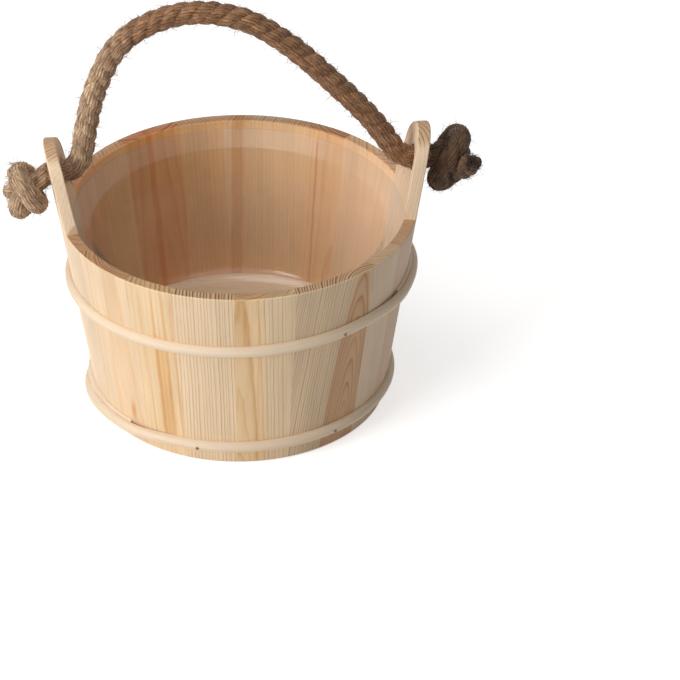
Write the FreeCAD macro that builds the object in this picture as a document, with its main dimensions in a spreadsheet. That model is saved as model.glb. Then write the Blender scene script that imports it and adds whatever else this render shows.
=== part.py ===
import FreeCAD, Part
import math
import os
import Sketcher

# Two-eared stave pail with a laid rope bail and a loose liner.
# Frame: origin at the centre of the base ring, +Z up, X through the two ears.

os.makedirs("parts", exist_ok=True)
doc = FreeCAD.newDocument("stave_pail")
sheet = doc.addObject("Spreadsheet::Sheet", "sizes")

# Driving dimensions, in millimetres and degrees
DIMENSIONS = {
    # wall of staves
    "rim_diameter": 250.0,
    "base_diameter": 205.0,
    "wall_height": 147.0,
    "stave_thickness": 8.8,
    "rim_arris": 0.7,
    "foot_arris": 0.8,
    # ears: two wide staves that run on above the rim
    "ear_angle": 30.0,
    "ear_rise": 31.5,
    "ear_round_radius": 25.0,
    "ear_arris": 0.9,
    "rope_play": 0.8,
    # bottom boards and the groove that holds them
    "croze_height": 17.0,
    "croze_depth": 4.0,
    "bottom_thickness": 12.0,
    "bottom_middle_width": 74.0,
    "groove_play": 0.2,
    # hoops: one half-round strip each, its last end lapped over its first
    "hoop_width": 8.4,
    "hoop_thickness": 4.6,
    "hoop_edge": 0.9,
    "hoop_tip_width": 3.4,
    "hoop_gap": 0.1,
    "hoop_end_rise": 2.4,
    "hoop_lap_drop": 1.0,
    "hoop_end_drop": 3.4,
    "upper_hoop_height": 98.6,
    "lower_hoop_height": 12.3,
    # how much higher a hoop sits at the front and at the right, as slopes
    "hoop_front_tilt": 1.7,
    "hoop_right_tilt": 1.1,
    "hoop_lap": 65.0,
    "hoop_step": 9.5,
    "upper_hoop_start": -28.0,
    "lower_hoop_start": -140.0,
    # brads through the hoops
    "nail_diameter": 1.2,
    "nail_head_diameter": 2.2,
    "nail_head_thickness": 0.5,
    "nail_length": 9.0,
    # liner
    "liner_wall": 1.2,
    "liner_play": 0.3,
    "liner_lip_drop": 5.7,
    "liner_lip_height": 9.2,
    "liner_shoulder_room": 10.4,
    "liner_floor_room": 5.7,
    "liner_corner_radius": 16.0,
    # rope bail
    "rope_diameter": 16.0,
    "knot_loop_radius": 10.0,
    "tail_diameter": 13.5,
    "cut_overrun": 30.0,
}

for row, (name, value) in enumerate(DIMENSIONS.items(), start=1):
    sheet.set(f"A{row}", name)
    sheet.set(f"B{row}", str(value))
    sheet.setAlias(f"B{row}", name)
doc.recompute()

FULL_TURN = 360.0
HALF_TURN = 180.0

# Width of each plain stave between the ears, as a share of that side's arc,
# seen from above and counted from the +X ear round to the -X ear.
BACK_STAVE_SHARES = [0.103, 0.101, 0.095, 0.209, 0.108, 0.150, 0.117, 0.117]
FRONT_STAVE_SHARES = [0.109, 0.094, 0.200, 0.133, 0.133, 0.111, 0.147, 0.073]

# Where brads go through the hoops, in degrees from +X
UPPER_NAIL_AZIMUTHS = [-57.8, 118.0]
LOWER_NAIL_AZIMUTHS = [-57.1, -109.9, 38.0, 80.0]

HOLE_HEIGHT = "(sizes.wall_height + sizes.ear_rise)"
HOLE_DIAMETER = "(sizes.rope_diameter + 2 * sizes.rope_play)"
EAR_TOP = "(sizes.wall_height + sizes.ear_rise + sizes.ear_round_radius)"


def size(name):
    """The value that the sheet holds now."""
    return float(sheet.get(name))


def number(expression):
    """What an expression over the sheet comes to."""
    value = sheet.evalExpression(expression)
    return float(getattr(value, "Value", value))


def wall_radius(height):
    """Outer radius of the wall at a height, as an expression."""
    return (
        "(sizes.base_diameter / 2 + (sizes.rim_diameter - sizes.base_diameter) / 2"
        f" * ({height}) / sizes.wall_height)"
    )


def inner_radius(height):
    """Inner radius of the wall at a height, as an expression."""
    return f"({wall_radius(height)} - sizes.stave_thickness)"


def origin_part(body, role):
    """One of a body's own origin planes or axes."""
    return next(f for f in body.Origin.OriginFeatures if f.Role == role)


def new_sketch(body, name, role):
    """An empty sketch on one of the body's origin planes."""
    sketch = body.newObject("Sketcher::SketchObject", name)
    sketch.AttachmentSupport = [(origin_part(body, role), "")]
    sketch.MapMode = "FlatFace"
    return sketch


def pin_point(sketch, geometry, vertex, across, up):
    """Hold one point of a sketch at a place given by two expressions."""
    for axis, expression in (("DistanceX", across), ("DistanceY", up)):
        if expression == "0":
            line = -2 if axis == "DistanceX" else -1
            sketch.addConstraint(
                Sketcher.Constraint("PointOnObject", geometry, vertex, line)
            )
            continue
        index = sketch.addConstraint(
            Sketcher.Constraint(axis, -1, 1, geometry, vertex, number(expression))
        )
        sketch.setExpression(f"Constraints[{index}]", expression)


def draw_outline(sketch, points):
    """A closed outline of straight lines through points given as expressions."""
    places = [
        FreeCAD.Vector(number(across), number(up), 0) for across, up in points
    ]
    count = len(points)
    first = None
    for i in range(count):
        line = Part.LineSegment(places[i], places[(i + 1) % count])
        index = sketch.addGeometry(line)
        first = index if first is None else first
    for i in range(count):
        following = first + (i + 1) % count
        sketch.addConstraint(
            Sketcher.Constraint("Coincident", first + i, 2, following, 1)
        )
    for i, (across, up) in enumerate(points):
        pin_point(sketch, first + i, 1, across, up)


def draw_circle(sketch, across, up, diameter):
    """A circle whose centre and diameter are expressions."""
    centre = FreeCAD.Vector(number(across), number(up), 0)
    circle = Part.Circle(centre, FreeCAD.Vector(0, 0, 1), number(diameter) / 2)
    index = sketch.addGeometry(circle)
    pin_point(sketch, index, 3, across, up)
    bound = sketch.addConstraint(
        Sketcher.Constraint("Diameter", index, number(diameter))
    )
    sketch.setExpression(f"Constraints[{bound}]", diameter)


def revolve(body, name, sketch, angle, midplane=True):
    """Turn a sketch about the upright axis."""
    turned = body.newObject("PartDesign::Revolution", name)
    turned.Profile = sketch
    turned.ReferenceAxis = (origin_part(body, "Z_Axis"), [""])
    turned.Midplane = midplane
    turned.Angle = number(angle)
    turned.setExpression("Angle", angle)
    doc.recompute()
    return turned


def turn_about_z(thing, angle):
    """Stand a sub-part at an angle about the pail's axis."""
    upright = FreeCAD.Vector(0, 0, 1)
    thing.Placement = FreeCAD.Placement(
        FreeCAD.Vector(), FreeCAD.Rotation(upright, number(angle))
    )
    thing.setExpression("Placement.Rotation.Angle", angle)


def pocket(body, name, sketch):
    """Cut a sketch right through, both ways, and see that it cuts."""
    before = body.Shape.Volume
    cut = body.newObject("PartDesign::Pocket", name)
    cut.Profile = sketch
    cut.Type = "ThroughAll"
    cut.Midplane = True
    doc.recompute()
    if body.Shape.Volume >= before:
        raise ValueError(f"{name} cuts nothing")
    return cut


# Staves

CROZE_TOP = "(sizes.croze_height + sizes.bottom_thickness + sizes.groove_play)"
CROZE_RADIUS = f"({inner_radius('sizes.croze_height')} + sizes.croze_depth)"


def stave_foot():
    """Outline of the foot and of the groove for the bottom, from inside to out."""
    foot_inner = (inner_radius("0"), "0")
    foot_outer = (f"{wall_radius('0')} - sizes.foot_arris", "0")
    foot_arris = (wall_radius("sizes.foot_arris"), "sizes.foot_arris")
    groove = [
        (inner_radius(CROZE_TOP), CROZE_TOP),
        (CROZE_RADIUS, CROZE_TOP),
        (CROZE_RADIUS, "sizes.croze_height"),
        (inner_radius("sizes.croze_height"), "sizes.croze_height"),
    ]
    return groove, [foot_inner, foot_outer, foot_arris]


def plain_stave(name, angle, place):
    """A tapered stave with its groove, its rim arrises and radial edges."""
    body = doc.addObject("PartDesign::Body", name)
    sketch = new_sketch(body, f"{name}_profile", "XZ_Plane")
    groove, foot = stave_foot()
    top = "sizes.wall_height"
    below = "(sizes.wall_height - sizes.rim_arris)"
    rim = [
        (wall_radius(below), below),
        (f"{wall_radius(top)} - sizes.rim_arris", top),
        (f"{inner_radius(top)} + sizes.rim_arris", top),
        (inner_radius(below), below),
    ]
    draw_outline(sketch, foot + rim + groove)
    revolve(body, f"{name}_wall", sketch, angle)
    turn_about_z(body, place)
    return body


def ear_stave(name, place):
    """A wide stave that runs on above the rim as an ear with a rope hole."""
    body = doc.addObject("PartDesign::Body", name)
    sketch = new_sketch(body, f"{name}_profile", "XZ_Plane")
    groove, foot = stave_foot()
    tall = [(wall_radius(EAR_TOP), EAR_TOP), (inner_radius(EAR_TOP), EAR_TOP)]
    draw_outline(sketch, foot + tall + groove)
    revolve(body, f"{name}_wall", sketch, "sizes.ear_angle")
    cheek = new_sketch(body, f"{name}_cheek", "YZ_Plane")
    draw_cheek(cheek)
    shoulder = pocket(body, f"{name}_shoulder", cheek)
    shoulders = body.newObject("PartDesign::Mirrored", f"{name}_shoulders")
    shoulders.Originals = [shoulder]
    shoulders.MirrorPlane = (origin_part(body, "XZ_Plane"), [""])
    body.Tip = shoulders
    hole = new_sketch(body, f"{name}_hole", "YZ_Plane")
    draw_circle(hole, "0", HOLE_HEIGHT, HOLE_DIAMETER)
    bore = pocket(body, f"{name}_bore", hole)
    eased = body.newObject("PartDesign::Fillet", f"{name}_arris")
    eased.Base = (bore, ear_edges(bore.Shape))
    eased.Radius = size("ear_arris")
    eased.setExpression("Radius", "sizes.ear_arris")
    doc.recompute()
    turn_about_z(body, place)
    return body


# An edge shorter than this share of the wall's thickness runs across the wall
ACROSS_WALL_SHARE = 1.2


def ear_edges(shape):
    """The long edges of an ear above the rim and those of its rope hole."""
    rim = size("wall_height")
    names = []
    for index, edge in enumerate(shape.Edges, start=1):
        middle = edge.valueAt((edge.FirstParameter + edge.LastParameter) / 2)
        across_wall = edge.Length < size("stave_thickness") * ACROSS_WALL_SHARE
        if middle.z > rim + size("ear_arris") and not across_wall:
            names.append(f"Edge{index}")
    return names


def draw_cheek(sketch):
    """What is sawn off beside an ear. From the rim it tapers straight until it
    touches the round, which is centred on the rope hole."""
    half_width = "(sizes.rim_diameter / 2 * sin(sizes.ear_angle / 2))"
    rim = "sizes.wall_height"
    wide = f"({half_width} + sizes.cut_overrun)"
    high = f"({EAR_TOP} + sizes.cut_overrun)"
    radius = size("ear_round_radius")
    rise = size("ear_rise")
    reach = math.hypot(number(half_width), rise)
    lean = math.acos(radius / reach) - math.atan2(rise, number(half_width))
    centre = FreeCAD.Vector(0, number(HOLE_HEIGHT), 0)

    def on_round(angle):
        along = FreeCAD.Vector(math.cos(angle), math.sin(angle), 0)
        return centre + along * radius

    def spot(across, up):
        return FreeCAD.Vector(number(across), number(up), 0)

    touch = on_round(lean)
    top = on_round(math.pi / 2)
    corners = [
        top,
        spot("0", high),
        spot(wide, high),
        spot(wide, rim),
        spot(half_width, rim),
        touch,
    ]
    lines = [
        sketch.addGeometry(Part.LineSegment(start, end))
        for start, end in zip(corners, corners[1:])
    ]
    middle = on_round((lean + math.pi / 2) / 2)
    round_edge = sketch.addGeometry(Part.Arc(touch, middle, top))
    for first, second in zip(lines, lines[1:]):
        sketch.addConstraint(Sketcher.Constraint("Coincident", first, 2, second, 1))
    sketch.addConstraint(Sketcher.Constraint("Coincident", round_edge, 2, lines[0], 1))
    sketch.addConstraint(Sketcher.Constraint("Tangent", lines[-1], 2, round_edge, 1))
    pin_point(sketch, round_edge, 3, "0", HOLE_HEIGHT)
    pin_point(sketch, lines[0], 2, "0", high)
    pin_point(sketch, lines[2], 1, wide, high)
    pin_point(sketch, lines[3], 1, wide, rim)
    pin_point(sketch, lines[4], 1, half_width, rim)
    sketch.addConstraint(Sketcher.Constraint("PointOnObject", lines[0], 1, -2))
    bound = sketch.addConstraint(Sketcher.Constraint("Radius", round_edge, radius))
    sketch.setExpression(f"Constraints[{bound}]", "sizes.ear_round_radius")


# Bottom boards: three boards cut to one disc, edges in the groove


def bottom_board(name, near, far):
    """The strip of the bottom disc that lies between two places across Y."""
    disc = doc.addObject("Part::Cylinder", f"{name}_disc")
    disc.setExpression("Radius", f"{CROZE_RADIUS} - sizes.liner_play")
    disc.setExpression("Height", "sizes.bottom_thickness")
    disc.setExpression("Placement.Base.z", "sizes.croze_height")
    strip = doc.addObject("Part::Box", f"{name}_strip")
    strip.setExpression("Length", "sizes.base_diameter")
    strip.setExpression("Width", f"{far} - {near}")
    strip.setExpression("Height", "sizes.bottom_thickness")
    strip.setExpression("Placement.Base.x", "-sizes.base_diameter / 2")
    strip.setExpression("Placement.Base.y", near)
    strip.setExpression("Placement.Base.z", "sizes.croze_height")
    board = doc.addObject("Part::Common", name)
    board.Base = disc
    board.Tool = strip
    return board


# Hoops: one half-round strip each, once round the wall and on past its own start

# Shares of the lap: how far the first end thickens and the last end thins, where the
# first end has passed the last tip, and where the last end begins to move outwards
FIRST_TIP_SHARE = 1.0
LAST_TIP_SHARE = 0.6
CROSSING_SHARE = 1.0
LEAD_IN_SHARE = 0.3


def smooth(value):
    """Nought below nought, one above one, and an even rise between."""
    held = min(max(value, 0.0), 1.0)
    return held * held * (3 - 2 * held)


def wall_frame(azimuth, height):
    """A point of the wall's outer face, the way out of it and the way up it."""
    taper = math.atan2(
        size("rim_diameter") - size("base_diameter"), 2 * size("wall_height")
    )
    outward = FreeCAD.Vector(math.cos(azimuth), math.sin(azimuth), 0)
    upright = FreeCAD.Vector(0, 0, 1)
    point = outward * number(wall_radius(height)) + upright * height
    normal = outward * math.cos(taper) - upright * math.sin(taper)
    along = outward * math.sin(taper) + upright * math.cos(taper)
    return point, normal, along


def hoop_height(middle, azimuth):
    """Height of a hoop that sits a little higher at the front and at the right."""
    front = math.tan(math.radians(size("hoop_front_tilt")))
    right = math.tan(math.radians(size("hoop_right_tilt")))
    slope = right * math.cos(azimuth) - front * math.sin(azimuth)
    return middle + slope * number(wall_radius(middle))


def hoop_section(azimuth, height, lift, scale):
    """Closed half-round section that lies on the wall at an azimuth and height."""
    wall, normal, along = wall_frame(azimuth, height)
    foot = wall + normal * (size("hoop_gap") + lift)
    half = size("hoop_width") / 2 * scale
    edge = size("hoop_edge") * scale
    crown = size("hoop_thickness") * scale

    def spot(out, up):
        return foot + normal * out + along * up

    low = Part.LineSegment(spot(0, -half), spot(edge, -half))
    face = Part.Arc(spot(edge, -half), spot(crown, 0), spot(edge, half))
    high = Part.LineSegment(spot(edge, half), spot(0, half))
    back = Part.LineSegment(spot(0, half), spot(0, -half))
    return Part.Wire([part.toShape() for part in (low, face, high, back)])


def crown_at(off, scale):
    """How far a hoop's round face stands out at a way off its middle line."""
    half = size("hoop_width") / 2
    bulge = size("hoop_thickness") - size("hoop_edge")
    radius = (half * half + bulge * bulge) / (2 * bulge)
    centre = size("hoop_thickness") - radius
    near = min(off, half * scale)
    return centre * scale + math.sqrt((radius * scale) ** 2 - near * near)


def hoop(name, height, start, direction):
    """A strip wound once round and on over a lap, pared down towards both tips. The
    last end lies on the first one's round face and slips down beside it."""
    lap = size("hoop_lap")
    tip = size("hoop_tip_width") / size("hoop_width")
    half = size("hoop_width") / 2
    total = FULL_TURN + lap
    count = round(total / size("hoop_step"))
    sections = []
    for k in range(count + 1):
        turned = total * k / count
        first = turned / lap
        last = (turned - FULL_TURN) / lap
        fade = smooth((last - 1 + LAST_TIP_SHARE) / LAST_TIP_SHARE)
        scale = tip + (1 - tip) * smooth(first / FIRST_TIP_SHARE) - (1 - tip) * fade
        rise = size("hoop_end_rise") * (1 - smooth(first - CROSSING_SHARE))
        drop = size("hoop_lap_drop") * smooth(1 + last / LEAD_IN_SHARE)
        drop += (size("hoop_end_drop") - size("hoop_lap_drop")) * smooth(last)
        under = tip + (1 - tip) * smooth(max(last, 0) / FIRST_TIP_SHARE)
        off = max(size("hoop_end_rise") + drop - half * scale, 0)
        swell = smooth(1 + last / LEAD_IN_SHARE)
        lift = (crown_at(off, under) + size("hoop_gap")) * swell
        azimuth = math.radians(start + direction * turned)
        level = hoop_height(height, azimuth) + rise - drop
        sections.append(hoop_section(azimuth, level, lift, scale))
    strip = doc.addObject("Part::Feature", name)
    strip.Shape = Part.makeLoft(sections, True, False)
    return strip


def nails(name, height, azimuths):
    """Brads driven square to the wall through the middle of a hoop."""
    solids = []
    for degrees in azimuths:
        azimuth = math.radians(degrees)
        wall, normal, _ = wall_frame(azimuth, hoop_height(height, azimuth))
        face = wall + normal * (size("hoop_gap") + size("hoop_thickness"))
        shank = Part.makeCylinder(
            size("nail_diameter") / 2,
            size("nail_length"),
            face - normal * size("nail_length"),
            normal,
        )
        head = Part.makeCylinder(
            size("nail_head_diameter") / 2, size("nail_head_thickness"), face, normal
        )
        solids.append(shank.fuse(head))
    group = doc.addObject("Part::Feature", name)
    group.Shape = Part.makeCompound(solids)
    return group


# Liner: a thin tapered cup that hangs by its flared lip in the wall


def liner():
    """Revolve of the cup's section: lip, shoulder, wall, round corner, floor."""
    body = doc.addObject("PartDesign::Body", "liner")
    sketch = new_sketch(body, "liner_section", "XZ_Plane")
    lip = "(sizes.wall_height - sizes.liner_lip_drop)"
    lip_radius = f"({inner_radius(lip)} - sizes.liner_play)"
    shoulder = f"({lip} - sizes.liner_lip_height)"
    shoulder_radius = f"({inner_radius(shoulder)} - sizes.liner_shoulder_room)"
    floor = f"({CROZE_TOP} - sizes.groove_play + sizes.liner_play)"
    floor_radius = f"({inner_radius(floor)} - sizes.liner_floor_room)"
    wall = "sizes.liner_wall"
    draw_outline(
        sketch,
        [
            ("0", floor),
            (floor_radius, floor),
            (shoulder_radius, shoulder),
            (lip_radius, lip),
            (f"{lip_radius} - {wall}", lip),
            (f"{shoulder_radius} - {wall}", f"{shoulder} + {wall} / 2"),
            (f"{floor_radius} - {wall}", f"{floor} + {wall}"),
            ("0", f"{floor} + {wall}"),
        ],
    )
    turned = revolve(body, "liner_cup", sketch, f"{FULL_TURN}", midplane=False)
    for label, radius, height, corner in (
        ("outer", floor_radius, floor, "sizes.liner_corner_radius"),
        (
            "inner",
            f"{floor_radius} - {wall}",
            f"{floor} + {wall}",
            f"sizes.liner_corner_radius - {wall}",
        ),
    ):
        fillet = body.newObject("PartDesign::Fillet", f"liner_corner_{label}")
        fillet.Base = (
            body.Tip if body.Tip != fillet else turned,
            [ring_edge(turned.Shape, number(radius), number(height))],
        )
        fillet.Radius = number(corner)
        fillet.setExpression("Radius", corner)
        doc.recompute()
        turned = fillet
    return body


def ring_edge(shape, radius, height):
    """Name of the level circular edge whose radius and height come nearest."""
    misses = []
    for index, edge in enumerate(shape.Edges, start=1):
        box = edge.BoundBox
        miss = abs(box.ZMin - height) + abs(box.ZMax - height) + abs(box.XMax - radius)
        misses.append((miss, f"Edge{index}"))
    return min(misses)[1]


# Rope bail: three-strand rope through both ears, an overhand knot outside each

# Places of the route beside and above the middle of the rope holes
ROPE_ROUTE = [
    (-131.5, 0.0),
    (-117.5, 0.0),
    (-107.5, 9.0),
    (-104.7, 29.0),
    (-97.5, 65.0),
    (-78.5, 104.5),
    (-37.0, 123.0),
    (5.0, 116.5),
    (38.0, 92.5),
    (65.5, 63.5),
    (89.0, 37.5),
    (102.0, 18.8),
    (109.8, 5.2),
    (118.3, 0.0),
    (131.5, 0.0),
]

# How much of the shorter run beside a corner its arc takes
ARC_SHARE = 0.45


def rope_path():
    """Straight runs of the route joined by tangent arcs, in the plane of the ears."""
    middle = size("wall_height") + size("ear_rise")
    points = [FreeCAD.Vector(across, 0, middle + up) for across, up in ROPE_ROUTE]
    edges = []
    done = points[0]
    for before, corner, after in zip(points, points[1:], points[2:]):
        back = before - corner
        on = after - corner
        turn = math.pi - back.getAngle(on)
        reach = ARC_SHARE * min(back.Length, on.Length)
        radius = reach / math.tan(turn / 2)
        print(f"rope bend {math.degrees(turn):.1f} degrees, radius {radius:.1f}")
        back = back.normalize()
        on = on.normalize()
        begin = corner + back * reach
        end = corner + on * reach
        inward = (back + on).normalize()
        centre_way = radius / math.cos(turn / 2)
        nearest = corner + inward * (centre_way - radius)
        edges.append(Part.LineSegment(done, begin).toShape())
        edges.append(Part.Arc(begin, nearest, end).toShape())
        done = end
    edges.append(Part.LineSegment(done, points[-1]).toShape())
    return Part.Wire(edges)


def rope_handle():
    """The rope between the ears' outer faces, a round tube along its route."""
    path = rope_path()
    begin = path.Edges[0].Vertexes[0].Point
    section = Part.Wire(
        [Part.makeCircle(size("rope_diameter") / 2, begin, FreeCAD.Vector(1, 0, 0))]
    )
    rope = doc.addObject("Part::Feature", "rope_handle")
    rope.Shape = path.makePipeShell([section], True, False)
    expected = math.pi * (size("rope_diameter") / 2) ** 2 * path.Length
    print(f"rope length {path.Length:.1f}, volume {rope.Shape.Volume:.0f} of {expected:.0f}")
    return rope


# Rings of each knot: centre outwards from the rope's end, along Y and up, in rope
# diameters, and the ring's axis as a turn about Y and a lean about X, in degrees
LEFT_RING_SHARES = [(1.2, 0.0, -0.62, 0.0, 82.0), (1.2, 0.05, -0.55, 28.0, 10.0)]
RIGHT_RING_SHARES = [(1.2, 0.0, -0.45, 0.0, 78.0), (1.4, 0.0, 0.4, -40.0, 8.0)]

# Where each knot's cut tail leaves it and ends, in rope diameters as above
LEFT_TAIL_SHARES = [(1.35, -0.2, -0.9), (1.45, -0.45, -2.35)]
RIGHT_TAIL_SHARES = [(1.5, 0.3, 0.4), (2.2, -1.15, 0.85)]


def knot(name, side, rings, tail):
    """An overhand knot drawn up tight: two rope rings through each other, the rope
    that comes in from the ear, and the cut tail."""
    thick = size("rope_diameter")
    start = FreeCAD.Vector(ROPE_ROUTE[-1][0], 0, size("wall_height") + size("ear_rise"))

    def spot(out, along, up):
        place = start + FreeCAD.Vector(out, along, up) * thick
        return FreeCAD.Vector(side * place.x, place.y, place.z)

    pieces = []
    for index, (out, along, up, turn, lean) in enumerate(rings, start=1):
        ring = doc.addObject("Part::Torus", f"{name}_ring_{index}")
        ring.setExpression("Radius1", "sizes.knot_loop_radius")
        ring.setExpression("Radius2", "sizes.rope_diameter / 2")
        turned = FreeCAD.Rotation(FreeCAD.Vector(0, 1, 0), side * turn)
        leaned = FreeCAD.Rotation(FreeCAD.Vector(1, 0, 0), lean)
        ring.Placement = FreeCAD.Placement(spot(out, along, up), turned.multiply(leaned))
        pieces.append(ring)
    core = doc.addObject("Part::Sphere", f"{name}_core")
    core.setExpression("Radius", "sizes.rope_diameter / 2")
    core.Placement = FreeCAD.Placement(pieces[0].Placement.Base, FreeCAD.Rotation())
    pieces.append(core)
    neck = doc.addObject("Part::Cylinder", f"{name}_neck")
    neck.setExpression("Radius", "sizes.rope_diameter / 2")
    neck.setExpression("Height", "sizes.rope_diameter")
    outwards = FreeCAD.Rotation(FreeCAD.Vector(0, 0, 1), FreeCAD.Vector(side, 0, 0))
    neck.Placement = FreeCAD.Placement(spot(0, 0, 0), outwards)
    pieces.append(neck)
    near, end = (spot(*place) for place in tail)
    stub = doc.addObject("Part::Cylinder", f"{name}_tail")
    stub.setExpression("Radius", "sizes.tail_diameter / 2")
    stub.setExpression("Height", f"sizes.rope_diameter * {(end - near).Length / thick}")
    way = FreeCAD.Rotation(FreeCAD.Vector(0, 0, 1), end - near)
    stub.Placement = FreeCAD.Placement(near, way)
    pieces.append(stub)
    fused = doc.addObject("Part::MultiFuse", name)
    fused.Shapes = pieces
    return fused


# Assembly

parts = []
parts.append(ear_stave("ear_stave_right", "0"))
parts.append(ear_stave("ear_stave_left", f"{HALF_TURN}"))
SIDE_ARC = f"({HALF_TURN} - sizes.ear_angle)"
for side, shares, sign in (
    ("back", BACK_STAVE_SHARES, 1),
    ("front", FRONT_STAVE_SHARES, -1),
):
    total = sum(shares)
    passed = 0.0
    for i, share in enumerate(shares, start=1):
        middle = (passed + share / 2) / total
        passed += share
        place = f"{sign} * (sizes.ear_angle / 2 + {SIDE_ARC} * {middle:.6f})"
        width = f"{SIDE_ARC} * {share / total:.6f}"
        parts.append(plain_stave(f"stave_{side}_{i}", width, place))

HALF_MIDDLE = "(sizes.bottom_middle_width / 2)"
parts.append(bottom_board("bottom_board_front", "(-sizes.base_diameter / 2)", f"(-{HALF_MIDDLE})"))
parts.append(bottom_board("bottom_board_middle", f"(-{HALF_MIDDLE})", HALF_MIDDLE))
parts.append(bottom_board("bottom_board_back", HALF_MIDDLE, "(sizes.base_diameter / 2)"))

parts.append(hoop("upper_hoop", size("upper_hoop_height"), size("upper_hoop_start"), 1))
parts.append(hoop("lower_hoop", size("lower_hoop_height"), size("lower_hoop_start"), -1))
parts.append(nails("upper_hoop_nails", size("upper_hoop_height"), UPPER_NAIL_AZIMUTHS))
parts.append(nails("lower_hoop_nails", size("lower_hoop_height"), LOWER_NAIL_AZIMUTHS))
parts.append(liner())
parts.append(rope_handle())
parts.append(knot("rope_knot_left", -1, LEFT_RING_SHARES, LEFT_TAIL_SHARES))
parts.append(knot("rope_knot_right", 1, RIGHT_RING_SHARES, RIGHT_TAIL_SHARES))

doc.recompute()

# Every object sound, every sub-part one whole solid or group, then out to file
for thing in doc.Objects:
    if "Invalid" in thing.State or "Error" in thing.State:
        raise ValueError(f"{thing.Name} has failed: {thing.State}")
for thing in parts:
    shape = thing.Shape
    if shape.isNull() or not shape.isValid() or not shape.Solids:
        raise ValueError(f"{thing.Label} is not a sound solid")
    box = shape.BoundBox
    print(
        f"{thing.Label}: {len(shape.Solids)} solid, {shape.Volume / 1000:.1f} cm3,"
        f" X {box.XMin:.1f} {box.XMax:.1f} Y {box.YMin:.1f} {box.YMax:.1f}"
        f" Z {box.ZMin:.1f} {box.ZMax:.1f}"
    )
for thing in parts:
    thing.Shape.exportStep(f"parts/{thing.Label}.step")
print(len(parts), "parts written")
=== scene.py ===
import math

import bpy
import numpy as np
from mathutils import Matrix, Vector


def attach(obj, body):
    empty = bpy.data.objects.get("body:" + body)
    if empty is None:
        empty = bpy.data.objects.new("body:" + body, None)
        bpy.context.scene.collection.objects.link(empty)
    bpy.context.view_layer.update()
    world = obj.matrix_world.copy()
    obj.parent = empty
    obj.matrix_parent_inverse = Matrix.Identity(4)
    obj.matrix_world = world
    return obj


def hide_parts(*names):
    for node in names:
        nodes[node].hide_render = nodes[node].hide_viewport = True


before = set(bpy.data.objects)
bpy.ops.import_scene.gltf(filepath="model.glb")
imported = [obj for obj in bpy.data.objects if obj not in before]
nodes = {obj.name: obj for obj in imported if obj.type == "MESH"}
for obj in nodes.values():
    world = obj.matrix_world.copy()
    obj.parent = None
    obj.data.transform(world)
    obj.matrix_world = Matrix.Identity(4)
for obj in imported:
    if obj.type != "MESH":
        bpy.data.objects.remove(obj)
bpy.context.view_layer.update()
scene = bpy.context.scene
MM = 0.001

# Camera at the photograph's place: place and reach in metres, lens in millimetres

CAMERA_PLACE = (-0.1540, -2.5181, 1.6665)
CAMERA_WAY = (0.0747, 0.8362, -0.5433)
CAMERA_LENS = 224.25
SENSOR_WIDTH = 36.0
FARTHEST_SEEN = 50.0


def placed(name, data):
    """A new object in the scene that holds this data."""
    made = bpy.data.objects.new(name, data)
    scene.collection.objects.link(made)
    return made


def aim(holder, place, way):
    """Stand a camera or a lamp at a place and point it along a way."""
    holder.location = place
    holder.rotation_mode = "QUATERNION"
    holder.rotation_quaternion = Vector(way).to_track_quat("-Z", "Y")


camera_data = bpy.data.cameras.new("camera")
camera_data.lens = CAMERA_LENS
camera_data.sensor_width = SENSOR_WIDTH
camera_data.clip_end = FARTHEST_SEEN
camera = placed("camera", camera_data)
aim(camera, CAMERA_PLACE, CAMERA_WAY)
scene.camera = camera
scene.view_settings.view_transform = "Standard"

# Materials: every one is a node tree


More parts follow.
